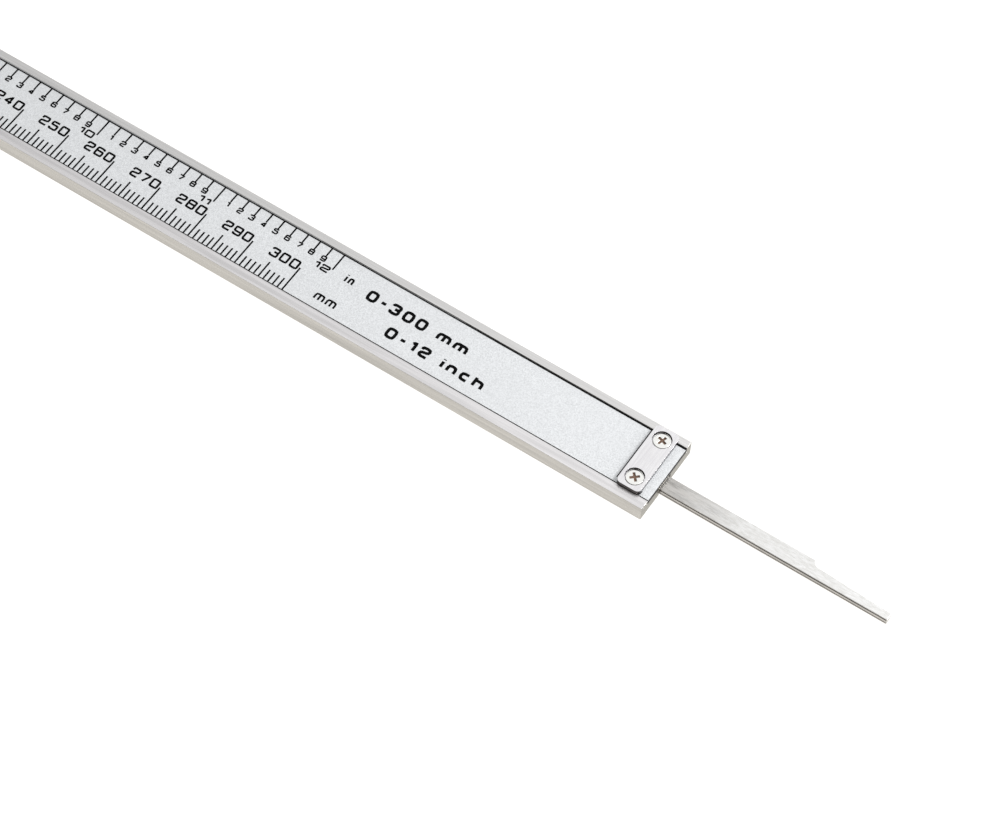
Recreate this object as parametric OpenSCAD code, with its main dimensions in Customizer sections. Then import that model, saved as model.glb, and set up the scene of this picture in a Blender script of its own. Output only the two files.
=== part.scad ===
// Digital caliper, 300 mm / 12 in, lying on its back with the jaws open.
// X runs along the beam, from the fixed jaws to the end of the depth rod.
// Y runs across the beam, towards the inside jaws. Z points out of the display side.
// The millimetre frame of the modules has X = 0 at the fixed measuring faces and Y = 0 on the
// beam's centreline. The part is placed by its bounding box at the end of the file.

/* [Beam] */
// Width of the beam
beam_w = 16; // [14:0.5:18]
// Thickness of the beam and the jaws
beam_t = 3.4; // [3.2:0.1:4]
// Height of the beam's back face above the bench
beam_z = 1.6; // [1.6:0.1:2]
// Length of the printed millimetre scale
scale_len = 300; // [150:50:300]
// Beam left beyond the last graduation
beam_tail = 74.7; // [74:0.1:90]
// Distance from the fixed measuring faces to the scale's zero
scale_zero = 3; // [3:0.5:5]
// Width of the fixed and the moving jaws at their roots
jaw_w = 16; // [14:1:18]

/* [Jaws] */
// Distance between the outside measuring faces as the part is stored
opening = 44; // [0:1:150]
// Length of the outside jaws below the beam
outside_jaw_len = 60; // [40:5:75]
// Height of the inside jaws above the beam
inside_jaw_len = 20; // [18:1:24]
// Width of the outside jaws' tips
tip_w = 3; // [2:0.5:4]

/* [Scale] */
// Width of the recess for the scale
recess_w = 12.6; // [12:0.1:12.6]
// Depth of the recess for the scale
recess_depth = 1.1; // [1:0.1:1.2]
// Thickness of the printed circuit under the label
circuit_t = 0.6; // [0.5:0.1:0.6]
// Thickness of the label
label_t = 0.2; // [0.1:0.05:0.3]

/* [End stop] */
// Width of the stop plate along the beam
stop_w = 4.65; // [4:0.05:6]
// Length of the stop plate across the beam
stop_len = 13.5; // [12:0.1:14]
// Thickness of the stop plate
stop_t = 0.9; // [0.8:0.1:1.2]
// Distance between the stop plate's two screws
stop_pitch = 8.7; // [8:0.1:9]
// Distance from the stop plate to the end of the beam
stop_inset = 1.8; // [1.5:0.1:3]

/* [Depth rod] */
// Width of the depth rod
rod_w = 3.1; // [2.6:0.1:3.4]
// Thickness of the depth rod
rod_t = 1.5; // [1.2:0.1:1.5]
// Length of the narrowed tip
rod_tip_len = 15.4; // [10:0.1:20]
// Width of the rod at its very end
rod_tip_w = 1.4; // [1.2:0.1:2]

/* [Slider] */
// Length of the slider from its index edge
slider_len = 63; // [63:1:66]
// Width of the slider across the beam
slider_w = 25; // [25:0.5:26]
// Thickness of the back plate
back_plate_t = 0.8; // [0.6:0.1:0.8]
// Thickness of the lips that hold the beam
lip_t = 1.15; // [1:0.05:1.3]
// Running clearance on each side of the beam
clearance = 0.05; // [0.03:0.01:0.08]
// Thickness of the gib strip
gib_t = 0.9; // [0.8:0.1:1]
// Radius of the thumb roller
roller_r = 4.5; // [4:0.1:5]
// Radius of the lock screw's knob
lock_knob_r = 3; // [2.5:0.1:3]

/* [Housing] */
// Length of the plastic housing
housing_len = 56; // [56:0.5:57]
// Height of the plastic housing above the slider's frame
housing_h = 8.8; // [8.8:0.1:9.2]
// Wall thickness of the housing
housing_wall = 1.5; // [1.2:0.1:1.6]
// Thickness of the housing's roof
roof_t = 1.4; // [1.2:0.1:1.5]
// How far the buttons stand above the roof
button_proud = 0.7; // [0.6:0.1:1]

/* [Hidden] */
$fn = 48;
small_gap = 0.02;

beam_front = beam_z + beam_t;
beam_end = scale_zero + scale_len + beam_tail;
half_beam = beam_w / 2;
half_z = beam_z + beam_t / 2;
recess_floor = beam_front - recess_depth;
scale_y = 0.23;
label_gap = 0.2;
label_w = recess_w - 2 * label_gap;
label_z = recess_floor + circuit_t;
label_top = label_z + label_t;
recess_start = 1;

jaw_tip_y = -half_beam - outside_jaw_len;
inside_tip_y = half_beam + inside_jaw_len;
jaw_shoulder = 5;
blade_w = 2.8;
blade_tip_w = 1.2;
blade_gap = 0.2;

stop_y = 0.65;
stop_x = beam_end - stop_inset - stop_w / 2;
stop_screw_r = 1;
stop_head_r = 1.55;
stop_pocket_r = 1.75;

rod_mid_y = -0.35;
rod_start = 20;
rod_end = opening + beam_end;
rod_step_x = rod_end - rod_tip_len;
rod_step = 1.05;
rod_slot = 0.2;
groove_start = 18;
rod_screws_x = [24, 32];

index_x = scale_zero;
slider_end = index_x + slider_len;
half_slider = slider_w / 2;
lip_z = beam_front + clearance;
frame_top = lip_z + lip_t;
rail_in = half_beam + clearance;
bridge_len = 10;
end_bridge = 4;
gib_x = [6, 63];
gib_screws_x = [22, 56];
gib_screw_r = 1;
lock_x = 39;
lock_r = 1.5;
lock_gap = 0.3;
pad_len = 1.2;
roller_x = 57;
roller_y = -half_beam - roller_r - clearance;
roller_t = 3;
axle_r = 0.9;
back_screws = [[9, -10.3], [48, -10.3], [9, 10.8], [48, 10.8]];
housing_screws = [[16, -10.3], [63.8, -10.3], [16, 10.8], [63.8, 10.8]];

housing_x = 12.5;
housing_end = housing_x + housing_len;
housing_y = [-13, 13.3];
housing_z = frame_top;
housing_top = housing_z + housing_h;
roof_z = housing_top - roof_t;
housing_r = 2.6;
edge_bevel = 1;
window_x = [17, 52.5];
window_y = [-1, 10.4];
button_size = [8.6, 4.2];
button_y = -7;
button_slack = 0.2;
board_z = frame_top;
board_t = 0.8;
board_top = board_z + board_t;
door_x = 54.5;
door_y = 7;
door_sill = 8;
flange_t = 0.6;
flange_z = roof_z - flange_t - 0.2;
rail_t = 0.8;
cell_r = 5.8;
cell_h = 5.4;
cell_x = 61;
port_x = [51, 60];
port_z = [8.4, 11.4];

mid_x = (rod_end - jaw_w) / 2;
mid_y = (jaw_tip_y + inside_tip_y) / 2;

// ---- Shapes that repeat ----

function arc(c, r, a0, a1, n = 8) =
    [for (i = [0:n]) let (a = a0 + (a1 - a0) * i / n) [c[0] + r * cos(a), c[1] + r * sin(a)]];

// Corners of a rounded rectangle between two opposite corners
function rounded(p, q, r) = concat(
    arc([q[0] - r, q[1] - r], r, 0, 90), arc([p[0] + r, q[1] - r], r, 90, 180),
    arc([p[0] + r, p[1] + r], r, 180, 270), arc([q[0] - r, p[1] + r], r, 270, 360));

// A block from one corner to the opposite one
module block(p, q) translate(p) cube(q - p);

// A plate with rounded corners, between two heights
module slab(p, q, r, z0, z1)
    translate([0, 0, z0]) linear_extrude(z1 - z0) polygon(rounded(p, q, r));

// A cylinder along Z, given by its ends
module pin_z(x, y, r, z0, z1) translate([x, y, z0]) cylinder(r = r, h = z1 - z0);

// A cylinder along Y, given by its ends
module pin_y(x, z, r, y0, y1) translate([x, y0, z]) rotate([-90, 0, 0]) cylinder(r = r, h = y1 - y0);

// A wheel whose rim is cut into fine teeth, axis along Z
module knurled(r, h, teeth, depth)
    linear_extrude(h) polygon([for (i = [0:2 * teeth - 1])
        let (a = 180 * i / teeth, s = r - (i % 2) * depth) [s * cos(a), s * sin(a)]]);

// A small screw along Z: the head's top at z_top, the shank down to z_tip, its cross turned
module screw(x, y, head_r, head_h, shank_r, z_top, z_tip, way = 1, turn = 0) {
    cross_w = head_r * 0.28;
    cross_len = head_r * 1.15;
    translate([x, y, z_top]) facing(way) difference() {
        union() {
            translate([0, 0, -head_h]) cylinder(r = head_r, h = head_h);
            translate([0, 0, -abs(z_top - z_tip)]) cylinder(r = shank_r, h = abs(z_top - z_tip));
        }
        for (a = [turn, turn + 90]) rotate(a)
            translate([-cross_len / 2, -cross_w / 2, -head_h * 0.6]) cube([cross_len, cross_w, head_h]);
    }
}

// Turns a screw over, so that its head faces down
module facing(way) if (way > 0) children(); else rotate([180, 0, 0]) children();

// Everything that rides on the slider is drawn with the jaws shut and moved to the opening
module slid() translate([opening, 0, 0]) children();

// ---- Beam ----

// Outline of an outside jaw, its measuring face on X = 0, its body towards +X
function outside_jaw_points() = concat(
    [[0, -rail_in], [0, jaw_tip_y], [tip_w - 0.6, jaw_tip_y]],
    arc([tip_w - 0.6, jaw_tip_y + 0.6], 0.6, 270, 340, 4),
    arc([jaw_w - 12, -half_beam - 16], 12, 340, 360, 4),
    [[jaw_w, -rail_in]]);

// Outline of an inside jaw, its measuring edge on X = 0 facing +X, its body towards +X
function inside_jaw_points(base_y) = concat(
    [[0, inside_tip_y], [-blade_tip_w, inside_tip_y], [-blade_w, half_beam + jaw_shoulder],
     [-blade_w, base_y], [jaw_w, base_y]],
    arc([jaw_w - 2, half_beam + jaw_shoulder - 2], 2, 0, 90, 4),
    arc([jaw_shoulder, half_beam + 2 * jaw_shoulder], jaw_shoulder, 270, 180));

// The cut that thins the tip of an outside jaw to a knife edge
module knife_cut()
    translate([0, jaw_tip_y - 1, beam_z + 1.5]) rotate([0, -32, 0]) cube([6, 15, 6]);

// Relief at the root of an outside jaw's measuring face
module root_relief() pin_z(0, -half_beam - 2.2, 1.1, beam_z - 1, beam_front + 1);

module fixed_jaws() mirror([1, 0, 0]) {
    difference() {
        translate([0, 0, beam_z]) linear_extrude(beam_t) polygon(outside_jaw_points());
        knife_cut();
    }
    intersection() {
        translate([0, 0, beam_z]) linear_extrude(beam_t) polygon(inside_jaw_points(half_beam - 1));
        union() {
            block([blade_w + 0.4, half_beam - 1, beam_z], [jaw_w + 1, inside_tip_y, beam_front]);
            block([-blade_w, half_beam - 1, beam_z], [jaw_w + 1, inside_tip_y, half_z - blade_gap / 2]);
        }
    }
}

module beam() color("silver") difference() {
    union() {
        block([-jaw_w, -half_beam, beam_z], [beam_end, half_beam, beam_front]);
        block([-jaw_w, -rail_in - 1, beam_z], [0, 0, beam_front]);
        fixed_jaws();
    }
    root_relief();
    block([recess_start, scale_y - recess_w / 2, recess_floor],
        [beam_end + 1, scale_y + recess_w / 2, beam_front + 1]);
    block([groove_start, rod_mid_y - rod_w / 2 - rod_slot, beam_z - 1],
        [beam_end + 1, rod_mid_y + rod_w / 2 + rod_slot, beam_z + rod_t + rod_slot]);
    for (side = [-1, 1])
        pin_z(stop_x, stop_y + side * stop_pitch / 2, stop_screw_r + small_gap, beam_z + 0.4, beam_front);
}

// A strip that fills the recess, with holes for the stop plate's screws
module scale_strip(width, z0, z1, start, finish) difference() {
    block([start, scale_y - width / 2, z0], [finish, scale_y + width / 2, z1]);
    for (side = [-1, 1])
        pin_z(stop_x, stop_y + side * stop_pitch / 2, stop_screw_r + 0.1, z0 - 1, z1 + 1);
}

module scale_circuit() color("darkgreen")
    scale_strip(label_w - 0.2, recess_floor, label_z, recess_start + 0.3, beam_end - 0.4);

module scale_label() color("gainsboro")
    scale_strip(label_w, label_z, label_top, recess_start + 0.2, beam_end - 0.1);

module end_stop_plate() color("lightgray") difference() {
    slab([stop_x - stop_w / 2, stop_y - stop_len / 2], [stop_x + stop_w / 2, stop_y + stop_len / 2],
        0.9, beam_front, beam_front + stop_t);
    for (side = [-1, 1]) translate([stop_x, stop_y + side * stop_pitch / 2, 0]) {
        pin_z(0, 0, stop_screw_r + 0.1, beam_front - 1, beam_front + stop_t + 1);
        pin_z(0, 0, stop_pocket_r, beam_front + 0.25, beam_front + stop_t + 1);
    }
}

module end_stop_screws() color("white") for (side = [-1, 1])
    screw(stop_x, stop_y + side * stop_pitch / 2, stop_head_r, stop_t - 0.4, stop_screw_r,
        beam_front + stop_t - 0.15, beam_z + 0.5, turn = 12 - 30 * side);

// ---- Slider ----

module moving_jaws() {
    difference() {
        translate([0, 0, beam_z]) linear_extrude(beam_t) polygon(outside_jaw_points());
        knife_cut();
        root_relief();
    }
    intersection() {
        translate([0, 0, beam_z]) linear_extrude(beam_t) polygon(inside_jaw_points(rail_in));
        union() {
            block([blade_w + 0.4, rail_in, beam_z], [jaw_w + 1, inside_tip_y, beam_front]);
            block([-blade_w, rail_in, half_z + blade_gap / 2], [jaw_w + 1, inside_tip_y, beam_front]);
        }
    }
}

// Rails beside the beam, lips in front of it and behind it, and bridges across its front
module frame_body() {
    for (side = [-1, 1]) on_side(side) {
        block([index_x, rail_in, back_plate_t], [slider_end, half_slider, frame_top]);
        block([index_x, half_beam - 0.9, lip_z], [slider_end, half_slider, frame_top]);
        block([index_x, half_beam - 2, back_plate_t], [slider_end, half_slider, beam_z - clearance]);
    }
    block([index_x, -half_slider, lip_z], [index_x + bridge_len, half_slider, frame_top]);
    block([slider_end - end_bridge, -half_slider, lip_z], [slider_end, half_slider, frame_top]);
}

module on_side(side) if (side > 0) children(); else mirror([0, 1, 0]) children();

// The ear that holds the front end of the roller's axle
module front_ear() {
    pin_z(roller_x, roller_y, 2.4, lip_z, frame_top);
    block([roller_x - 2.4, roller_y, lip_z], [roller_x + 2.4, -half_slider + 2, frame_top]);
}

module slider_frame() color("silver") slid() difference() {
    union() {
        frame_body();
        moving_jaws();
        front_ear();
    }
    block([gib_x[0], half_beam - 0.5, beam_z], [gib_x[1], rail_in + gib_t + 0.1, beam_front + small_gap]);
    pin_z(roller_x, roller_y, roller_r + 0.6, 0, lip_z);
    pin_z(roller_x, roller_y, axle_r + small_gap, 0, frame_top + 1);
    for (x = gib_screws_x) pin_y(x, half_z, gib_screw_r + small_gap, half_beam, half_slider + 1);
    pin_y(lock_x, half_z, lock_r + small_gap, half_beam, half_slider + 1);
    for (p = back_screws) pin_z(p[0], p[1], 0.7 + small_gap, 0, 4.1);
    for (p = housing_screws) {
        pin_z(p[0], p[1], 0.8 + 0.05, 0, frame_top + 1);
        pin_z(p[0], p[1], 1.45, 0, back_plate_t + 1.15);
    }
}

module gib_strip() color("goldenrod") slid()
    block([gib_x[0] + 0.2, rail_in, beam_z + 0.1], [gib_x[1] - 0.2, rail_in + gib_t, beam_front - 0.1]);

module gib_screws() color("dimgray") slid() for (x = gib_screws_x) difference() {
    pin_y(x, half_z, gib_screw_r, rail_in + gib_t, half_slider - 0.4);
    block([x - 1.2, half_slider - 1, half_z - 0.18], [x + 1.2, half_slider, half_z + 0.18]);
}

module back_plate() color("lightgray") slid() difference() {
    union() {
        slab([index_x + 1, -half_slider + 0.3], [slider_end - 1, half_slider - 0.3], 1.5, 0, back_plate_t);
        pin_z(roller_x, roller_y, 2.4, 0, back_plate_t);
        block([roller_x - 2.4, roller_y, 0], [roller_x + 2.4, -half_slider + 2, back_plate_t]);
    }
    pin_z(roller_x, roller_y, axle_r + small_gap, -1, 2);
    for (p = back_screws) {
        pin_z(p[0], p[1], 0.8, -1, 2);
        pin_z(p[0], p[1], 1.3, -1, 0.5);
    }
    for (x = rod_screws_x) {
        pin_z(x, rod_mid_y, 0.8, -1, 2);
        pin_z(x, rod_mid_y, 1.3, -1, 0.5);
    }
}

module back_plate_screws() color("gray") slid()
    for (p = back_screws) screw(p[0], p[1], 1.2, 0.45, 0.7, 0.05, 4, -1);

module depth_rod_screws() color("gray") slid()
    for (x = rod_screws_x) screw(x, rod_mid_y, 1.2, 0.45, 0.7, 0.05, 2.8, -1);

// Plan of the rod: a straight strip whose tip is ground back on one side
function rod_plan() = let (low = rod_mid_y - rod_w / 2, high = rod_mid_y + rod_w / 2) concat(
    [[rod_start + opening, low], [rod_end, low], [rod_end, low + rod_tip_w]],
    arc([rod_step_x + rod_step, high], rod_step, 270, 180), [[rod_start + opening, high]]);

module depth_rod() color("lightgray") difference() {
    union() {
        translate([0, 0, beam_z]) linear_extrude(rod_t) polygon(rod_plan());
        slid() block([rod_start, rod_mid_y - rod_w / 2, back_plate_t],
            [rod_start + 16, rod_mid_y + rod_w / 2, beam_z + rod_t]);
    }
    slid() for (x = rod_screws_x) pin_z(x, rod_mid_y, 0.7 + small_gap, 0, 2.9);
}

module roller_axle() color("gray") slid() pin_z(roller_x, roller_y, axle_r, 0.1, frame_top);

module thumb_roller() color("darkgray") slid() translate([roller_x, roller_y, half_z - roller_t / 2])
    difference() {
        knurled(roller_r, roller_t, 40, 0.25);
        pin_z(0, 0, axle_r + 0.05, -1, roller_t + 1);
    }

module lock_pad() color("goldenrod") slid()
    pin_y(lock_x, half_z, lock_r - 0.05, rail_in + gib_t + lock_gap, rail_in + gib_t + lock_gap + pad_len);

module lock_screw() color("silver") slid() {
    tip = rail_in + gib_t + lock_gap + pad_len + small_gap;
    knob = half_slider + 1.4;
    pin_y(lock_x, half_z, lock_r, tip, knob);
    translate([lock_x, knob, half_z]) rotate([-90, 0, 0]) knurled(lock_knob_r, 5.2, 28, 0.25);
    pin_y(lock_x, half_z, lock_knob_r - 0.8, knob + 5.2, knob + 5.9);
}

// ---- Display unit ----

module housing_shell() {
    p = [housing_x, housing_y[0]];
    q = [housing_end, housing_y[1]];
    inset = [edge_bevel, edge_bevel];
    hull() {
        slab(p, q, housing_r, housing_z, housing_top - edge_bevel);
        slab(p + inset, q - inset, housing_r - edge_bevel, housing_z, housing_top);
    }
}

// Angle rails that hang from the roof and guide the battery door
module door_rails() for (side = [-1, 1]) on_side(side) {
    block([door_x, door_y + 0.2, flange_z - rail_t], [housing_end - 1, door_y + 1.7, flange_z]);
    block([door_x, door_y + 0.9, flange_z - rail_t], [housing_end - 1, door_y + 1.7, roof_z]);
}

// Posts in the corners that take the housing's screws
module housing_posts() for (p = housing_screws) pin_z(p[0], p[1], 1.9, housing_z, 10.8);

module housing() color("dimgray") slid() difference() {
    union() {
        difference() {
            housing_shell();
            block([housing_x + housing_wall, housing_y[0] + housing_wall, housing_z - 1],
                [housing_end - housing_wall, housing_y[1] - housing_wall, roof_z]);
        }
        housing_posts();
        door_rails();
    }
    for (p = housing_screws) pin_z(p[0], p[1], 0.8 + small_gap, housing_z - 1, 10.4);
    slab([window_x[0], window_y[0]], [window_x[1], window_y[1]], 0.8, roof_z - 1, housing_top + 1);
    for (x = button_xs()) button_opening(x, roof_z - 1);
    block([door_x, -door_y, door_sill], [housing_end + 1, door_y, housing_top + 1]);
    block([housing_end - 2, -door_y - 0.9, flange_z], [housing_end + 1, door_y + 0.9, roof_z]);
    block([port_x[0], housing_y[1] - 3, port_z[0]], [port_x[1], housing_y[1] + 1, port_z[1]]);
}

function button_xs() = [20.5, 32.5, 44.5];

// The opening for a button, cut from a height up through the face
module button_opening(x, z0)
    slab([x, button_y] - button_size / 2 - [button_slack, button_slack],
        [x, button_y] + button_size / 2 + [button_slack, button_slack], 1.4, z0, housing_top + 1);

module housing_screws() color("gray") slid()
    for (p = housing_screws) screw(p[0], p[1], 1.4, 1, 0.8, back_plate_t + 0.1, 10.2, -1);

module face_plate() color("lightsteelblue") slid() difference() {
    slab([housing_x + 1.6, housing_y[0] + 1.6], [door_x - 0.6, housing_y[1] - 1.6], 1.4,
        housing_top, housing_top + 0.2);
    slab([window_x[0], window_y[0]], [window_x[1], window_y[1]], 0.8, housing_top - 1, housing_top + 1);
    for (x = button_xs()) button_opening(x, housing_top - 1);
}

module display_window() color("lightcyan") slid()
    slab([window_x[0] + 0.1, window_y[0] + 0.1], [window_x[1] - 0.1, window_y[1] - 0.1], 0.7,
        roof_z + 0.1, housing_top - 0.1);

module display_panel() color("darkseagreen") slid()
    block([window_x[0] - 0.9, window_y[0] - 1.8, roof_z - 2.1],
        [window_x[1] + 0.9, window_y[1] + 1.2, roof_z - 0.3]);

module display_connectors() color("lightpink") slid()
    for (y = [window_y[0] - 1.6, window_y[1] - 0.4])
        block([window_x[0] + 1, y, board_top], [window_x[1] - 3, y + 1.4, roof_z - 2.1]);

module reader_board() color("seagreen") slid()
    block([index_x + bridge_len + 0.3, -6.2, label_top + 0.35],
        [slider_end - end_bridge - 0.3, 6.5, board_z]);

module circuit_board() color("green") slid() difference() {
    block([housing_x + housing_wall + 0.2, housing_y[0] + housing_wall + 0.2, board_z],
        [housing_end - housing_wall - 0.2, housing_y[1] - housing_wall - 0.2, board_top]);
    for (p = housing_screws) pin_z(p[0], p[1], 2.1, board_z - 1, board_top + 1);
}

module controller_chip() color("black") slid() translate([36, 4.5, board_top]) {
    cylinder(r = 4, h = 0.7);
    translate([0, 0, 0.7]) cylinder(r1 = 4, r2 = 2.4, h = 0.6);
}

module button_switches() color("silver") slid() for (x = button_xs()) {
    block([x - 2, button_y - 2, board_top], [x + 2, button_y + 2, board_top + 1.1]);
    pin_z(x, button_y, 1.3, board_top + 1.1, board_top + 1.5);
}

// A button: a cap through the roof, a flange under it and a stem above its switch
module push_button(x) slid() {
    slab([x, button_y] - button_size / 2, [x, button_y] + button_size / 2, 1.3,
        roof_z - 0.1, housing_top + button_proud);
    slab([x, button_y] - button_size / 2 - [0.7, 0.7], [x, button_y] + button_size / 2 + [0.7, 0.7], 1,
        roof_z - 1, roof_z - 0.1);
    pin_z(x, button_y, 1.2, board_top + 2.05, roof_z - 1);
}

module button_power() color("darkorange") push_button(button_xs()[1]);
module button_zero() color("steelblue") push_button(button_xs()[2]);
module button_unit() color("steelblue") push_button(button_xs()[0]);

module battery_cell() color("silver") slid()
    pin_z(cell_x, 0, cell_r, board_top + 0.25, board_top + 0.25 + cell_h);

module battery_contacts() color("gold") slid() {
    block([cell_x - 4, -2, board_top], [cell_x + 4, 2, board_top + 0.25]);
    block([cell_x - cell_r - 0.35, -3, board_top], [cell_x - cell_r - 0.05, 3, board_top + 4]);
}

module battery_door() color("dimgray") slid() {
    slab([door_x + 0.1, -door_y + 0.1], [housing_end, door_y - 0.1], 0.3, roof_z + 0.1, housing_top);
    block([door_x + 0.3, -door_y - 0.8, roof_z - 0.1 - flange_t],
        [housing_end - 1, door_y + 0.8, roof_z - 0.1]);
    block([door_x + 0.3, -door_y + 0.2, roof_z - 0.1], [housing_end - 1, door_y - 0.2, roof_z + 0.1]);
    block([housing_end - 1, -door_y + 0.1, door_sill + 0.1], [housing_end, door_y - 0.1, roof_z + 0.1]);
}

module port_header() color("black") slid() difference() {
    block([port_x[0] + 0.4, 8, board_top], [port_x[1] - 0.4, 10, port_z[1] - 0.2]);
    for (i = [0:3]) block([port_x[0] + 1.2 + i * 1.9, 9.2, 8.7], [port_x[0] + 2.1 + i * 1.9, 11, 10.4]);
}

module port_cover() color("black") slid() {
    block([port_x[0] + 0.1, housing_y[1] - 2.6, port_z[0] + 0.1],
        [port_x[1] - 0.1, housing_y[1] + 0.02, port_z[1] - 0.1]);
    block([port_x[0] - 0.6, housing_y[1] + 0.02, port_z[0] - 0.6],
        [port_x[1] + 0.6, housing_y[1] + 0.6, port_z[1] + 0.6]);
}

// ---- Placing ----

module place() translate([-mid_x, -mid_y, 0]) children();

place() {
    beam();
    scale_circuit();
    scale_label();
    end_stop_plate();
    end_stop_screws();
    slider_frame();
    gib_strip();
    gib_screws();
    back_plate();
    back_plate_screws();
    depth_rod();
    depth_rod_screws();
    roller_axle();
    thumb_roller();
    lock_pad();
    lock_screw();
    housing();
    housing_screws();
    face_plate();
    display_window();
    display_panel();
    display_connectors();
    reader_board();
    circuit_board();
    controller_chip();
    button_switches();
    button_power();
    button_zero();
    button_unit();
    battery_cell();
    battery_contacts();
    battery_door();
    port_header();
    port_cover();
}
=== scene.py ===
import math

import bpy
from mathutils import Matrix, Vector


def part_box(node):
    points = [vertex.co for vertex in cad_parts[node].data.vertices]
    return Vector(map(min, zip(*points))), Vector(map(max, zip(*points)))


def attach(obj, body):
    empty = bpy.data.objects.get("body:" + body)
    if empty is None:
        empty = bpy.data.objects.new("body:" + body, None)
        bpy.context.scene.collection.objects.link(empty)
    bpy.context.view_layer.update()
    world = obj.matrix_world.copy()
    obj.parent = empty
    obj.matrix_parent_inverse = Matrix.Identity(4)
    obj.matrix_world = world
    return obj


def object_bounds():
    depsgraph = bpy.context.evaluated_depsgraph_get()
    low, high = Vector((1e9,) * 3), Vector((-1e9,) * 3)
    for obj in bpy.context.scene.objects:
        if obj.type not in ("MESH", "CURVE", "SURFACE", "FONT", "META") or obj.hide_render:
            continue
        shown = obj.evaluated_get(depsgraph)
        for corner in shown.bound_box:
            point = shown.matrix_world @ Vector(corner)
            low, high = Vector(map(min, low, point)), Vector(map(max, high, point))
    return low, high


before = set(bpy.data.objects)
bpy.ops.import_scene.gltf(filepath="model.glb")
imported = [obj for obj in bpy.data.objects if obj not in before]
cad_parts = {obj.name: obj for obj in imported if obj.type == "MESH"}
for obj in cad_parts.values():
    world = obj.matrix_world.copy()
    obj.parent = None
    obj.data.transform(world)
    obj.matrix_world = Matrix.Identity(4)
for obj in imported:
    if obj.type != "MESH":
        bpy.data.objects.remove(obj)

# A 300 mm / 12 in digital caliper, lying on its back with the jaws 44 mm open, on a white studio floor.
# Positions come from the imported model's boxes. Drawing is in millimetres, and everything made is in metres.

cad_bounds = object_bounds()

MM = 0.001
beam_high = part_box("beam")[1]
label_low, label_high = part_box("scale_label")

# The gap beside the film, the film before the scale's zero, and how far the print is off the film's middle
FILM_GAP = 0.1
FILM_LEAD = 1.8
PRINT_SHIFT = 0.23
rod_root = beam_high.x
near_land = label_low.y - FILM_GAP * MM
zero_x = label_low.x + FILM_LEAD * MM
centre_y = (label_low.y + label_high.y) / 2 - PRINT_SHIFT * MM


# ---- Materials ----

def linear(red, green, blue):
    """A screen colour, 0 to 255, as the linear values that a socket takes."""
    shares = [c / 255 for c in (red, green, blue)]
    return [((s + 0.055) / 1.055) ** 2.4 if s > 0.04 else s / 12.92 for s in shares] + [1.0]


def scaled(color, factor):
    """The colour, brighter or darker by a factor."""
    return [min(c * factor, 1.0) for c in color[:3]] + [1.0]


class Finish:
    """One material, with short calls that add its nodes."""

    def __init__(self, name, **constants):
        self.material = bpy.data.materials.new(name)
        self.material.use_nodes = True
        self.tree = self.material.node_tree
        self.shader = self.tree.nodes["Principled BSDF"]
        self.place = self.tree.nodes.new("ShaderNodeTexCoord").outputs["Object"]
        for socket, value in constants.items():
            self.shader.inputs[socket.replace("_", " ")].default_value = value

    def link(self, output, socket):
        self.tree.links.new(output, self.shader.inputs[socket])

    def noise(self, per_metre, detail=3):
        """Noise with so many features a metre along X, Y and Z."""
        mapping = self.tree.nodes.new("ShaderNodeMapping")
        mapping.inputs["Scale"].default_value = per_metre
        texture = self.tree.nodes.new("ShaderNodeTexNoise")
        texture.inputs["Scale"].default_value = 1
        texture.inputs["Detail"].default_value = detail
        texture.inputs["Roughness"].default_value = 0.6
        self.tree.links.new(self.place, mapping.inputs["Vector"])
        self.tree.links.new(mapping.outputs["Vector"], texture.inputs["Vector"])
        return texture.outputs["Fac"]

    def between(self, value, low, high, start=0.3, end=0.7):
        """The value's middle range, spread from low to high."""
        node = self.tree.nodes.new("ShaderNodeMapRange")
        for socket, number in zip(range(1, 5), (start, end, low, high)):
            node.inputs[socket].default_value = number
        self.tree.links.new(value, node.inputs[0])
        return node.outputs[0]

    def blend(self, share, first, second):
        """A mix of two colours, each a list or an output, by a share from 0 to 1."""
        node = self.tree.nodes.new("ShaderNodeMix")
        node.data_type = "RGBA"
        for socket, color in ((6, first), (7, second)):
            if isinstance(color, list):
                node.inputs[socket].default_value = color
            else:
                self.tree.links.new(color, node.inputs[socket])
        self.tree.links.new(share, node.inputs[0])
        return node.outputs[2]

    def facing(self, axis, start, end):
        """0 to 1 as the surface turns from one value of its normal's part along an axis to another."""
        split = self.tree.nodes.new("ShaderNodeSeparateXYZ")
        self.tree.links.new(self.place.node.outputs["Normal"], split.inputs[0])
        return self.between(split.outputs[axis], 0, 1, start, end)

    def along(self, axis, start, end):
        """0 to 1 from one place along an axis to another, with an uneven front."""
        split = self.tree.nodes.new("ShaderNodeSeparateXYZ")
        self.tree.links.new(self.place, split.inputs[0])
        reach = 0.3 * (end - start)
        wander = self.between(self.noise((300, 1500, 1500)), -reach, reach, 0, 1)
        total = self.tree.nodes.new("ShaderNodeMath")
        self.tree.links.new(split.outputs[axis], total.inputs[0])
        self.tree.links.new(wander, total.inputs[1])
        return self.between(total.outputs[0], 0, 1, start, end)

    def bump(self, height, strength, depth):
        node = self.tree.nodes.new("ShaderNodeBump")
        node.inputs["Strength"].default_value = strength
        node.inputs["Distance"].default_value = depth
        self.tree.links.new(height, node.inputs["Height"])
        self.link(node.outputs["Normal"], "Normal")


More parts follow.
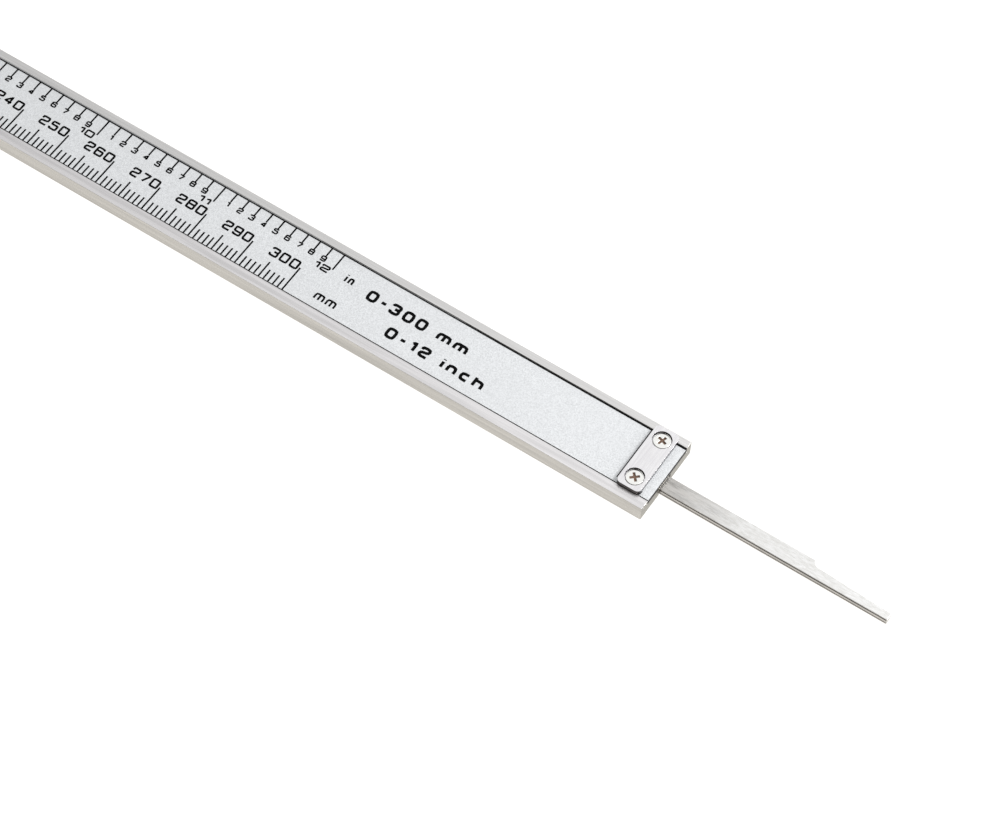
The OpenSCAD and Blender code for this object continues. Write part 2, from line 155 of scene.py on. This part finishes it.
def ground_metal(name, color, rough, lay=(60, 5000, 5000), patches=(40, 500, 700), contrast=0.1,
                 painted_shade_tones=(), bands=()):
    """Ground or drawn metal: fine parallel lines along the lay, and soft cloudy patches.
    Painted shade tones are (axis, start, end, tint): faces turned that way take on the tint, as painted
    shade.
    Bands are (axis, start, end, tint, low): from one place to another the surface takes on the tint, with
    streaks down to a low share of it."""
    finish = Finish(name, Metallic=1.0)
    lines = finish.noise(lay, detail=2)
    clouds = finish.noise(patches, detail=4)
    groove = scaled(color, 1 - contrast)
    ridge = scaled(color, 1 + contrast)
    grained = finish.blend(finish.between(lines, 0, 1), groove, ridge)
    tinted = finish.blend(finish.between(clouds, 0, 0.5), grained, scaled(color, 1 - 1.5 * contrast))
    for axis, start, end, tint, low in bands:
        streaked = finish.blend(finish.between(clouds, 0, 1, 0.4, 0.55), scaled(tint, low), tint)
        tinted = finish.blend(finish.along(axis, start, end), tinted, streaked)
    # Painted shade by direction: faces turned along an axis take a darker tint.
    for axis, start, end, tint in painted_shade_tones:
        darker = scaled(tint, 1 - 1.6 * contrast)
        lighter = scaled(tint, 1 + 1.2 * contrast)
        streaked = finish.blend(finish.between(clouds, 0, 1), darker, lighter)
        tinted = finish.blend(finish.facing(axis, start, end), tinted, streaked)
    finish.link(tinted, "Base Color")
    finish.link(finish.between(clouds, rough - 0.05, rough + 0.07), "Roughness")
    finish.bump(lines, 0.25, 0.01 * MM)
    return finish.material


def moulded(name, color, rough, grain=3500, relief=0.35, mottle=0.08, **constants):
    """Plastic, rubber or resin: a spark-eroded grain, a faint mottle and handling shine."""
    finish = Finish(name, **constants)
    sparks = finish.noise((grain, grain, grain), detail=2)
    handled = finish.noise((70, 70, 70), detail=3)
    finish.link(finish.blend(handled, scaled(color, 1 - mottle), scaled(color, 1 + mottle)), "Base Color")
    finish.link(finish.between(handled, rough - 0.08, rough + 0.08), "Roughness")
    finish.bump(sparks, relief, 0.03 * MM)
    return finish.material


def printed_film(name, color, rough, metal, contrast=0.2):
    """A silver film: metal flakes under a satin coat, each of a slightly different brightness."""
    finish = Finish(name, Metallic=metal)
    flake = finish.noise((5200, 5200, 5200), detail=2)
    wash = finish.noise((40, 120, 40), detail=2)
    darker = scaled(color, 1 - contrast)
    lighter = scaled(color, 1 + contrast)
    grain = finish.blend(finish.between(flake, 0, 1), darker, lighter)
    finish.link(finish.blend(finish.between(wash, 0, 0.4), grain, scaled(color, 0.97)), "Base Color")
    finish.link(finish.between(flake, rough - 0.06, rough + 0.06), "Roughness")
    finish.bump(flake, 0.2, 0.01 * MM)
    return finish.material


# The tones are painted shade: the faces turned to the sides are tinted darker than the tops, to offset the
# white floor that they mirror.
materials = {
    "hardened_steel": ground_metal("hardened_steel", linear(234, 233, 232), 0.35,
                                   patches=(30, 1100, 1300), contrast=0.12,
                                   # Painted highlight: the band lightens the steel nearer than the scale's
                                   # near edge, chiefly the near land, in streaks.
                                   bands=[("Y", near_land + 1 * MM, near_land, linear(243, 241, 242), 0.86)],
                                   painted_shade_tones=[("X", 0.25, 0.7, linear(148, 145, 136)),
                                          ("X", -0.4, -0.9, linear(176, 173, 167)),
                                          ("Y", -0.4, -0.9, linear(188, 185, 179)),
                                          ("Y", 0.4, 0.9, linear(184, 182, 177))]),
    "satin_steel": ground_metal("satin_steel", linear(246, 244, 247), 0.34, lay=(5000, 200, 5000),
                                painted_shade_tones=[("X", 0.3, 0.8, linear(96, 93, 97)),
                                       ("Y", -0.4, -0.9, linear(118, 112, 110)),
                                       ("Y", 0.4, 0.9, linear(120, 116, 114))]),
    "rod_steel": ground_metal("rod_steel", linear(246, 245, 242), 0.28, lay=(900, 4000, 4000),
                              patches=(220, 1300, 1300), contrast=0.16,
                              painted_shade_tones=[("X", 0.4, 0.9, linear(196, 194, 188)),
                                     ("Y", -0.4, -0.9, linear(180, 176, 170)),
                                     ("Y", 0.4, 0.9, linear(184, 180, 175))],
                              bands=[("X", rod_root + 16 * MM, rod_root, linear(204, 201, 197), 0.66)]),
    "screw_steel": ground_metal("screw_steel", linear(255, 255, 251), 0.3, lay=(1500, 1500, 1500),
                                contrast=0.02),
    "dark_screw_steel": ground_metal("dark_screw_steel", linear(70, 70, 74), 0.4,
                                     lay=(1500, 1500, 1500)),
    "knurled_steel": ground_metal("knurled_steel", linear(222, 222, 220), 0.26, lay=(900, 900, 4000)),
    "switch_metal": ground_metal("switch_metal", linear(205, 203, 198), 0.3, lay=(800, 800, 800)),
    "cell_steel": ground_metal("cell_steel", linear(215, 214, 210), 0.2, lay=(2000, 2000, 300)),
    "brass": ground_metal("brass", linear(214, 180, 110), 0.3, lay=(200, 4000, 4000)),
    "spring_brass": ground_metal("spring_brass", linear(228, 196, 118), 0.26, lay=(300, 300, 4000)),
    "scale_print": printed_film("scale_print", linear(228, 230, 232), 0.46, 0.2),
    "face_film": printed_film("face_film", linear(168, 172, 178), 0.42, 0.35, contrast=0.08),
    "housing_plastic": moulded("housing_plastic", linear(52, 53, 57), 0.5),
    "power_button_plastic": moulded("power_button_plastic", linear(214, 106, 38), 0.42),
    "button_plastic": moulded("button_plastic", linear(66, 98, 150), 0.42),
    "header_plastic": moulded("header_plastic", linear(34, 34, 36), 0.5),
    "chip_resin": moulded("chip_resin", linear(24, 24, 26), 0.25, grain=700),
    "connector_rubber": moulded("connector_rubber", linear(214, 160, 160), 0.6, mottle=0.15),
    "circuit_laminate": moulded("circuit_laminate", linear(36, 104, 60), 0.35, grain=1500, mottle=0.2),
    "display_glass": moulded("display_glass", linear(168, 178, 160), 0.18, grain=900, relief=0.05,
                             mottle=0.03),
    "clear_window": moulded("clear_window", linear(246, 250, 250), 0.06, grain=150, relief=0.02,
                            mottle=0.01, Transmission_Weight=1.0, IOR=1.46),
}
scale_ink = moulded("scale_ink", linear(9, 9, 10), 0.7, grain=5000, relief=0.1, mottle=0.2,
                    Specular_IOR_Level=0.06)
# Painted light: a pale stand-in over the shaded gap and wall beside the film's far edge.
painted_edge_light = moulded("painted_edge_light", linear(196, 197, 198), 0.4, grain=2500, relief=0.2)
# Brown grime that also darkens the screws' cross recesses as painted shade.
recess_grime_and_shade = moulded("recess_grime_and_shade", linear(112, 88, 72), 0.7, grain=2500, relief=0.4, mottle=0.4)
# Painted shade: a dark stand-in for shade, round the stop plate, at the beam's end, along the rod and on the
# screw heads.
painted_shade = moulded("painted_shade", linear(30, 27, 26), 0.45, grain=1200, relief=0.4, mottle=0.4,
              Specular_IOR_Level=0.2)
segment_ink = moulded("segment_ink", linear(34, 38, 36), 0.3, grain=2000, relief=0.05)
white_ink = moulded("white_ink", linear(232, 232, 228), 0.5, grain=5000, relief=0.1)


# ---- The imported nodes: finishes, and small edge radii in millimetres ----

EDGE_RADII = {
    "beam": 0.05, "slider_frame": 0.12, "depth_rod": 0.12, "back_plate": 0.1, "end_stop_plate": 0.2,
    "housing": 0.2, "battery_door": 0.12, "port_cover": 0.15, "face_plate": 0.05, "display_window": 0.1,
    "button_power": 0.25, "button_zero": 0.25, "button_unit": 0.25,
    "lock_screw": 0.08, "thumb_roller": 0.06, "end_stop_screws": 0.06, "housing_screws": 0.06,
    "back_plate_screws": 0.06, "depth_rod_screws": 0.06,
}


def soften(node, radius):
    """Joins the split faces and rounds the sharp edges by a radius."""
    node.modifiers.new("join", "WELD").merge_threshold = 0.001 * MM
    flat = node.modifiers.new("flat", "DECIMATE")
    flat.decimate_type = "DISSOLVE"
    flat.angle_limit = math.radians(0.5)
    edge = node.modifiers.new("edge", "BEVEL")
    edge.width = radius * MM
    edge.segments = 2
    edge.limit_method = "ANGLE"
    edge.angle_limit = math.radians(30)
    edge.harden_normals = True


for name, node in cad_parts.items():
    node.material_slots[0].material = materials[node.material_slots[0].material.name]
    if name in EDGE_RADII:
        soften(node, EDGE_RADII[name])


# ---- Printed strokes, also used for painted shade and painted light ----

# Each character's strokes in a box of width and height 1. A stroke that ends where it starts is closed.
GLYPHS = {
    "0": [[(0, 0), (1, 0), (1, 1), (0, 1), (0, 0)]],
    "1": [[(0, 0.76), (1, 1), (1, 0)]],
    "2": [[(0.02, 0.72), (0.02, 1), (1, 1), (1, 0.55), (0, 0.42), (0, 0), (1, 0)]],
    "3": [[(0.03, 0.78), (0.03, 1), (1, 1), (1, 0.52), (0.4, 0.52)],
          [(0.6, 0.52), (1, 0.52), (1, 0), (0, 0), (0, 0.25)]],
    "4": [[(0.74, 0), (0.74, 1), (0, 0.28), (1, 0.28)]],
    "5": [[(1, 1), (0.08, 1), (0.05, 0.58), (1, 0.6), (1, 0), (0, 0), (0, 0.22)]],
    "6": [[(0.95, 0.8), (0.95, 1), (0, 1), (0, 0), (1, 0), (1, 0.57), (0.05, 0.57)]],
    "7": [[(0, 1), (1, 1), (0.35, 0)]],
    "8": [[(0, 0), (1, 0), (1, 1), (0, 1), (0, 0)], [(0, 0.53), (1, 0.53)]],
    "9": [[(0.05, 0.2), (0.05, 0), (1, 0), (1, 1), (0, 1), (0, 0.43), (0.95, 0.43)]],
    "-": [[(0, 0.45), (1, 0.45)]],
    "/": [[(0, -0.05), (1, 1.05)]],
    "m": [[(0, 0), (0, 0.7), (1, 0.7), (1, 0)], [(0.5, 0), (0.5, 0.7)]],
    "n": [[(0, 0), (0, 0.7), (1, 0.7), (1, 0)]],
    "i": [[(0.5, 0), (0.5, 0.7)], [(0.5, 0.9), (0.5, 1)]],
    "c": [[(1, 0.7), (0, 0.7), (0, 0), (1, 0)]],
    "h": [[(0, 0), (0, 1)], [(0, 0.7), (1, 0.7), (1, 0)]],
}
# The widths that aren't 1, as shares of a numeral's
WIDTHS = {"1": 0.58, "-": 0.7, "/": 0.5, " ": 0.5, "m": 1.35, "i": 0.2, "n": 0.95, "c": 0.9}


def rounded_path(points, radius):
    """The points with each inner corner turned into a short curve, and whether the path is closed."""
    closed = points[0] == points[-1]
    corners = [Vector(p) for p in (points[:-1] if closed else points)]
    path = []
    for i, corner in enumerate(corners):
        if not closed and i in (0, len(corners) - 1):
            path.append(corner)
            continue
        back = corners[i - 1] - corner
        ahead = corners[(i + 1) % len(corners)] - corner
        start = corner + back.normalized() * min(radius, back.length * 0.45)
        end = corner + ahead.normalized() * min(radius, ahead.length * 0.45)
        path += [start, (start + 2 * corner + end) / 4, end]
    return path, closed


def circle(middle, radius, start, sweep, count=24):
    """Points on an arc, with angles in degrees."""
    angles = [math.radians(start + sweep * i / count) for i in range(count + 1)]
    return [(middle[0] + radius * math.cos(a), middle[1] + radius * math.sin(a)) for a in angles]


# How far ink reaches into the face under it, and how much higher each layer is than the last
INK_SINK = 0.004
LAYER_LIFT = 0.003


class Ink:
    """Strokes laid on a level face, drawn in millimetres from a point on it: print, and pieces of painted
    shade and painted light.
    """

    def __init__(self, origin, thickness=0.012):
        self.origin = Vector(origin)
        self.levels = (self.origin.z - INK_SINK * MM, self.origin.z + thickness * MM)
        self.vertices = []
        self.faces = []

    def section(self, left, right, layer):
        """Adds the four corners of a cut through a stroke. Each layer is a hair higher than the last."""
        for point, level in ((left, 0), (left, 1), (right, 1), (right, 0)):
            x = self.origin.x + point.x * MM
            y = self.origin.y + point.y * MM
            self.vertices.append((x, y, self.levels[level] + level * layer * LAYER_LIFT * MM))

    def stroke(self, points, width, radius=0.0, end_width=None, layer=0):
        """A closed ribbon along the points, with a width that may change to another at the end."""
        path, closed = rounded_path(points, radius) if radius else ([Vector(p) for p in points], False)
        first = len(self.vertices)
        count = len(path)
        for i, point in enumerate(path):
            back = point - path[i - 1] if closed or i else path[1] - point
            ahead = path[(i + 1) % count] - point if closed or i < count - 1 else back
            heading = (back.normalized() + ahead.normalized()).normalized()
            share = i / (count - 1)
            half = (width + (end_width - width) * share if end_width else width) / 2
            across = Vector((-heading.y, heading.x)) * half / max(heading.dot(ahead.normalized()), 0.5)
            self.section(point + across, point - across, layer)
        for i in range(count if closed else count - 1):
            a = first + 4 * i
            b = first + 4 * ((i + 1) % count)
            self.faces += [(a + k, a + (k + 1) % 4, b + (k + 1) % 4, b + k) for k in range(4)]
        if not closed:
            last = first + 4 * (count - 1)
            self.faces += [(first + 3, first + 2, first + 1, first), (last, last + 1, last + 2, last + 3)]

    def shape(self, points):
        """A flat shape with an outline that turns left."""
        first = len(self.vertices)
        count = len(points)
        for level in self.levels:
            self.vertices += [(self.origin.x + x * MM, self.origin.y + y * MM, level) for x, y in points]
        bottom = [first + i for i in range(count)]
        self.faces += [tuple(reversed(bottom)), tuple(i + count for i in bottom)]
        for a, b in zip(bottom, bottom[1:] + bottom[:1]):
            self.faces.append((a, b, b + count, a + count))

    def write(self, text, x, y, lettering, align=0.0):
        """Writes characters on the line y. Align 0 starts at x, 1 ends there.
        Lettering is a character's (width, height), the gap, the stroke's weight and its corners' radius."""
        size, gap, weight, radius = lettering
        widths = [size[0] * WIDTHS.get(c, 1) for c in text]
        x -= align * (sum(widths) + gap * (len(text) - 1))
        for character, wide in zip(text, widths):
            across = max(wide - weight, 0)
            tall = size[1] - weight
            corner = (x + min(weight, wide) / 2, y + weight / 2)
            for layer, points in enumerate(GLYPHS.get(character, [])):
                placed = [(corner[0] + u * across, corner[1] + v * tall) for u, v in points]
                self.stroke(placed, weight, radius, layer=layer)
            x += wide + gap

    def make(self, name, body, material):
        """Turns the strokes into a piece that rides on a body."""
        mesh = bpy.data.meshes.new(name)
        mesh.from_pydata(self.vertices, [], self.faces)
        mesh.materials.append(material)
        piece = bpy.data.objects.new(name, mesh)
        bpy.context.scene.collection.objects.link(piece)
        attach(piece, body)


# ---- The scale: millimetres on the near edge, tenths of an inch on the far edge ----

# Along the beam: what is beyond the scale's last mark, and the film's start from the scale's zero
BEYOND_SCALE = 74.7
FILM_START = -1.7

# Across the beam from the scale's middle line: the film's printed edges and the recess's far wall
NEAR_EDGE = -5.85
FAR_EDGE = 6.33
WALL = 6.53

INCH = 25.4

# The ticks' width and their lengths
TICK = 0.31
LONG_TICK = 5.6
MIDDLE_TICK = 3.6
SHORT_TICK = 2.3
INCH_TICK = 3.7
TENTH_TICK = 2.03

# Lettering: a character's width and height, the gap, the stroke's weight and its corners' radius
MM_NUMERALS = ((1.76, 2.06), 0.36, 0.41, 0.24)
MM_MARK = ((1.5, 2.08), 0.36, 0.38, 0.4)
INCH_NUMERALS = ((1.78, 1.5), 0.3, 0.35, 0.22)
TENTH_NUMERALS = ((1.14, 1.26), 0, 0.3, 0.2)
INCH_MARK = ((1.12, 1.96), 0.42, 0.39, 0.36)
RANGE_MM = ((2.08, 2.36), 0.62, 0.58, 0.5)
RANGE_INCH = ((2.08, 2.36), 0.72, 0.58, 0.5)

# The lines that the characters stand on, across the beam
MM_LINE = -1.08
MM_MARK_LINE = -4.24
INCH_LINE = 1.38
TENTH_LINE = 3.06
INCH_MARK_LINE = 1.63
RANGE_MM_LINE = 0.77
RANGE_INCH_LINE = -3.72

# Painted light on the recess's far wall, pale strips over its shade: name, start, end and height
WALL_LIGHT_STRIPS = (("high", FILM_START, 270, 0.27), ("middle", 270, 300, 0.2), ("low", 300, 330, 0.1))

scale_length = round((beam_high.x - zero_x) / MM - BEYOND_SCALE)
scale_origin = (zero_x, centre_y, label_high.z)


def print_millimetres():
    ink = Ink(scale_origin)
    for mm in range(scale_length + 1):
        length = LONG_TICK if mm % 10 == 0 else MIDDLE_TICK if mm % 5 == 0 else SHORT_TICK
        ink.stroke([(mm, NEAR_EDGE), (mm, NEAR_EDGE + length)], TICK)
        if mm % 10 == 0 and mm:
            ink.write(str(mm), mm - 0.36, MM_LINE, MM_NUMERALS, align=1)
    ink.write("mm", scale_length + 5.25, MM_MARK_LINE, MM_MARK)
    ink.make("scale_millimetres", "beam", scale_ink)


def print_inches():
    ink = Ink(scale_origin)
    for tenth in range(round(scale_length / INCH * 10) + 3):
        x = tenth * INCH / 10
        whole, part = divmod(tenth, 10)
        ink.stroke([(x, FAR_EDGE), (x, FAR_EDGE - (TENTH_TICK if part else INCH_TICK))], TICK)
        if part:
            ink.write(str(part), x - 0.08, TENTH_LINE, TENTH_NUMERALS, align=0.5)
        elif whole:
            ink.write(str(whole), x - 0.3, INCH_LINE, INCH_NUMERALS, align=1)
    ink.write("in", scale_length + 7.7, INCH_MARK_LINE, INCH_MARK)
    ink.make("scale_inches", "beam", scale_ink)


def print_range():
    """The measuring range in bold, beyond the scale's end."""
    ink = Ink(scale_origin)
    ink.write("0-300 mm", scale_length + 12.7, RANGE_MM_LINE, RANGE_MM)
    ink.write("0-12 inch", scale_length + 19.6, RANGE_INCH_LINE, RANGE_INCH)
    ink.make("scale_range", "beam", scale_ink)


def print_border():
    """The film's edges: painted light, pale pieces that fill the gap beside the far one and climb the
    recess's wall over its shade, less and less towards the end of the beam; and a dark line that widens the
    same way, print widened as painted shade."""
    end = (label_high.x - zero_x) / MM
    gap_middle = FAR_EDGE + 0.1
    # Painted light: a pale strip over the gap's shade.
    filler = Ink(scale_origin, thickness=0.0)
    filler.stroke([(FILM_START, gap_middle), (end, gap_middle)], 0.19)
    filler.make("scale_gap_painted_light", "beam", painted_edge_light)
    # Painted light: pale strips over the wall's shade, lower towards the end of the beam.
    bead_middle = WALL - 0.035
    for name, start, stop, height in WALL_LIGHT_STRIPS:
        bead = Ink(scale_origin, thickness=height)
        bead.stroke([(start, bead_middle), (stop, bead_middle)], 0.05)
        bead.make("scale_wall_painted_light_" + name, "beam", painted_edge_light)
    line = Ink(scale_origin, thickness=0.016)
    # The far line is print, widened towards the end as painted shade of the recess's wall.
    line.stroke([(FILM_START, FAR_EDGE), (end, FAR_EDGE + 0.04)], 0.06, end_width=0.28)
    line.stroke([(FILM_START, NEAR_EDGE + 0.05), (end, NEAR_EDGE + 0.05)], 0.13)
    line.make("scale_border", "beam", scale_ink)


def plate_oil():
    """Painted shadow on the scale and on the near land, in the corners around the stop plate: dark strips
    beside its west and near edges.
    """
    low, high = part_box("end_stop_plate")
    west = (low.x - zero_x) / MM
    east = (high.x - zero_x) / MM
    near = (low.y - centre_y) / MM
    corner = (high.x - low.x) / MM * 0.25
    on_scale = Ink(scale_origin, thickness=0.02)
    on_scale.stroke([(west - 0.2, near + 1.3), (west - 0.2, FAR_EDGE)], 0.6)
    on_scale.make("plate_painted_shadow_scale", "beam", painted_shade)
    on_land = Ink((zero_x, centre_y, low.z), thickness=0.02)
    route = [(west + 0.5 * corner, near), (east, near), (east, near + corner)]
    on_land.stroke(route, 0.14, radius=0.8)
    on_land.make("plate_painted_shadow_land", "beam", painted_shade)


def seal_scale_end():
    """Painted shade: a dark bead on the ledge at the end of the beam, over the circuit's cut end."""
    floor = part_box("scale_circuit")[0].z
    height = (label_low.z - floor) / MM - 0.02
    middle = -0.2
    bead = Ink((beam_high.x, centre_y, floor), thickness=height)
    bead.stroke([(middle, NEAR_EDGE), (middle, FAR_EDGE)], 0.385)
    bead.make("scale_end_painted_shade", "beam", painted_shade)


def score_rod():
    """Painted shade: two thin dark lines along the depth rod's near side, and a dark strip on the beam's end
    above the rod.
    """
    low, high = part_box("depth_rod")
    length = (high.x - low.x) / MM
    for name, drop, thick in (("rod_line", 0.42, 0.26), ("rod_line_low", 1.16, 0.14)):
        line = Ink((low.x, low.y, high.z - drop * MM), thickness=thick)
        line.stroke([(0.5, 0), (length - 0.15, 0)], 0.03)
        line.make(name, "slider", painted_shade)
    mouth = Ink((beam_high.x, (low.y + high.y) / 2, high.z + 0.02 * MM), thickness=0.5)
    half = (high.y - low.y) / 2 / MM + 0.15
    mouth.stroke([(0.02, -half), (0.02, half)], 0.04)
    mouth.make("rod_mouth_painted_shade", "beam", painted_shade)


def oil_screws():
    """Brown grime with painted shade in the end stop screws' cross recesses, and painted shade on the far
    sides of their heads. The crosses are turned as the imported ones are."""
    low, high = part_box("end_stop_screws")
    middle = (low + high) / 2
    head_r = (high.x - low.x) / 2 / MM
    pitch = high.y - low.y - (high.x - low.x)
    far_side = 110  # degrees from +X
    for name, side in (("far", 1), ("near", -1)):
        y = middle.y + side * pitch / 2
        # Grime and painted shade in the cross recess.
        cross = Ink((middle.x, y, high.z - 0.28 * MM), thickness=0.05)
        long = head_r * 0.55
        wide = head_r * 0.13
        arm = [Vector((wide, -wide)), Vector((long, -wide)), Vector((long, wide))]
        turns = [Matrix.Rotation(math.radians(12 - 30 * side + 90 * quarter), 2) for quarter in range(4)]
        cross.shape([turn @ corner for turn in turns for corner in arm])
        cross.make("cross_fill_" + name, "beam", recess_grime_and_shade)
        # Painted shade on the far side of the head's rim.
        rim = Ink((middle.x, y, high.z))
        for sweep in (75, -65):
            arc = circle((0, 0), head_r - 0.16, far_side, sweep, count=10)
            rim.stroke(arc, 0.2, end_width=0.02)
        rim.make("screw_rim_painted_shade_" + name, "beam", painted_shade)


print_millimetres()
print_inches()
print_range()
print_border()
plate_oil()
seal_scale_end()
score_rod()
oil_screws()


# ---- The display and the buttons ----

# Each segment from end to end, in a box of width 1 and height 2
SEGMENT_LINES = {
    "a": ((0, 2), (1, 2)), "b": ((1, 2), (1, 1)), "c": ((1, 1), (1, 0)), "d": ((0, 0), (1, 0)),
    "e": ((0, 1), (0, 0)), "f": ((0, 2), (0, 1)), "g": ((0, 1), (1, 1)),
}
LIT = {"0": "abcdef", "4": "bcfg"}
READING = "44.00"
DIGIT_W = 4.2
HALF_DIGIT_H = 3.4
DIGIT_GAP = 2.2
DIGIT_SLANT = 0.1
SEGMENT_W = 0.72
SEGMENT_TRIM = 0.42
POINT_SIZE = 0.7
DISPLAY_UNIT = ((1.5, 1.9), 0.4, 0.3, 0.2)
ZERO_ICON = ((1.7, 2.2), 0, 0.3, 0.4)
UNITS_ICON = ((0.95, 1.6), 0.36, 0.2, 0.15)


def digit_point(x, base, place):
    """A point of a slanted digit, with its place given in half digits."""
    across, up = place
    rise = up * HALF_DIGIT_H
    return Vector((x, base)) + Vector((across * DIGIT_W + rise * DIGIT_SLANT, rise))


def display_digits():
    """The reading in slanted seven-segment digits, under the window."""
    low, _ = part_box("display_window")
    panel_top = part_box("display_panel")[1].z
    ink = Ink((low.x, low.y, panel_top))
    base = 1.9
    x = 3.6
    for character in READING:
        if character == ".":
            point_x = x - 1.25
            ink.stroke([(point_x, base - POINT_SIZE / 2), (point_x, base + POINT_SIZE / 2)], POINT_SIZE)
            continue
        for name in LIT[character]:
            start, end = [digit_point(x, base, place) for place in SEGMENT_LINES[name]]
            trim = (end - start).normalized() * SEGMENT_TRIM
            ink.stroke([start + trim, end - trim], SEGMENT_W)
        x += DIGIT_W + DIGIT_GAP
    ink.write("mm", x - 0.3, base, DISPLAY_UNIT)
    ink.make("display_digits", "slider", segment_ink)


def button_icon(node, body, name, draw):
    """Prints an icon in white on a button's top."""
    low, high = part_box(node)
    ink = Ink(((low.x + high.x) / 2, (low.y + high.y) / 2, high.z))
    draw(ink)
    ink.make(name, body, white_ink)


def draw_power(ink):
    weight = 0.26
    ink.stroke(circle((0, -0.1), 1.1, 120, 300), weight)
    ink.stroke([(0, 0.1), (0, 1.35)], weight)


def draw_zero(ink):
    ink.write("0", 0, -1.1, ZERO_ICON, align=0.5)


def draw_units(ink):
    ink.write("mm/in", 0, -0.75, UNITS_ICON, align=0.5)


def face_print():
    """The face film's dark frame line around the window and its white line just inside the edge."""
    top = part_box("face_plate")[1].z
    for name, node, outset, width, material in (
            ("face_frame", "display_window", 0.62, 0.5, segment_ink),
            ("face_edge", "face_plate", -0.75, 0.22, white_ink)):
        low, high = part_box(node)
        ink = Ink(((low.x + high.x) / 2, (low.y + high.y) / 2, top))
        x = (high.x - low.x) / 2 / MM + outset
        y = (high.y - low.y) / 2 / MM + outset
        ink.stroke([(-x, -y), (x, -y), (x, y), (-x, y), (-x, -y)], width, radius=1.0)
        ink.make(name, "slider", material)


display_digits()
face_print()
button_icon("button_power", "power_button", "icon_power", draw_power)
button_icon("button_zero", "zero_button", "icon_zero", draw_zero)
button_icon("button_unit", "unit_button", "icon_units", draw_units)


# ---- Studio ----

def studio_floor():
    """A wide white floor that gives off light of its own, as a lit table does."""
    size = 2.5
    level = cad_bounds[0][2] - 0.02 * MM
    mesh = bpy.data.meshes.new("floor")
    rim = [(size * x, size * y, level) for x, y in circle((0, 0), 1, 0, 360)[:-1]]
    mesh.from_pydata(rim, [], [tuple(range(len(rim)))])
    floor = bpy.data.objects.new("floor", mesh)
    bpy.context.scene.collection.objects.link(floor)
    finish = Finish("floor_white", Emission_Strength=1.03)
    finish.shader.inputs["Emission Color"].default_value = (1.0, 0.985, 0.965, 1)
    haze = finish.noise((3, 3, 3))
    finish.link(finish.blend(haze, [0.12, 0.12, 0.12, 1.0], [0.16, 0.16, 0.16, 1.0]), "Base Color")
    finish.link(finish.between(haze, 0.8, 0.95), "Roughness")
    mesh.materials.append(finish.material)


# How the world's strength changes with a direction's part along an axis: start, end, low and high
WORLD_SPREADS = (("X", -0.6, -0.05, 0.42, 1.12), ("Y", -0.5, 0.3, 0.42, 0.99))


def studio_light():
    """Light from all round, brighter overhead and to the right, and dim on the near side."""
    world = bpy.data.worlds.new("studio")
    bpy.context.scene.world = world
    world.use_nodes = True
    tree = world.node_tree
    direction = tree.nodes.new("ShaderNodeTexCoord").outputs["Generated"]
    split = tree.nodes.new("ShaderNodeSeparateXYZ")
    tree.links.new(direction, split.inputs[0])
    shares = []
    for axis, start, end, low, high in WORLD_SPREADS:
        spread = tree.nodes.new("ShaderNodeMapRange")
        spread.interpolation_type = "SMOOTHSTEP" if axis == "Y" else "LINEAR"
        for socket, number in zip(range(1, 5), (start, end, low, high)):
            spread.inputs[socket].default_value = number
        tree.links.new(split.outputs[axis], spread.inputs[0])
        shares.append(spread.outputs[0])
    product = tree.nodes.new("ShaderNodeMath")
    product.operation = "MULTIPLY"
    for socket, share in enumerate(shares):
        tree.links.new(share, product.inputs[socket])
    background = tree.nodes["Background"]
    background.inputs["Color"].default_value = (1, 1, 1, 1)
    tree.links.new(product.outputs[0], background.inputs["Strength"])


def soft_box(name, place, aim, size, power):
    """A square area light at a place, turned to a point."""
    light = bpy.data.lights.new(name, "AREA")
    light.shape = "SQUARE"
    light.size = size
    light.energy = power
    lamp = bpy.data.objects.new(name, light)
    lamp.location = place
    lamp.rotation_euler = (Vector(aim) - Vector(place)).to_track_quat("-Z", "Y").to_euler()
    bpy.context.scene.collection.objects.link(lamp)


def camera():
    """A long lens above the near side of the beam's end, rolled by a few degrees."""
    right = Vector((0.83543, 0.54808, 0.04093)).normalized()
    forward = Vector((-0.26608, 0.46849, -0.84245)).normalized()
    distance = 0.5779
    target = Vector((beam_high.x - 30.4 * MM, centre_y - 4.64 * MM, beam_high.z))
    place = target - forward * distance
    up = right.cross(forward)
    data = bpy.data.cameras.new("camera")
    data.lens = 123
    data.sensor_width = 36
    data.clip_start = 0.01
    eye = bpy.data.objects.new("camera", data)
    bpy.context.scene.collection.objects.link(eye)
    eye.matrix_world = Matrix.Translation(place) @ Matrix((right, up, -forward)).transposed().to_4x4()
    bpy.context.scene.camera = eye


studio_floor()
studio_light()
end_point = Vector((beam_high.x, centre_y, beam_high.z))
key_place = end_point + Vector((0.2, 0.163, 0.311))
soft_box("key", key_place, end_point, size=0.12, power=1.0)
camera()
bpy.context.scene.view_settings.view_transform = "Standard"
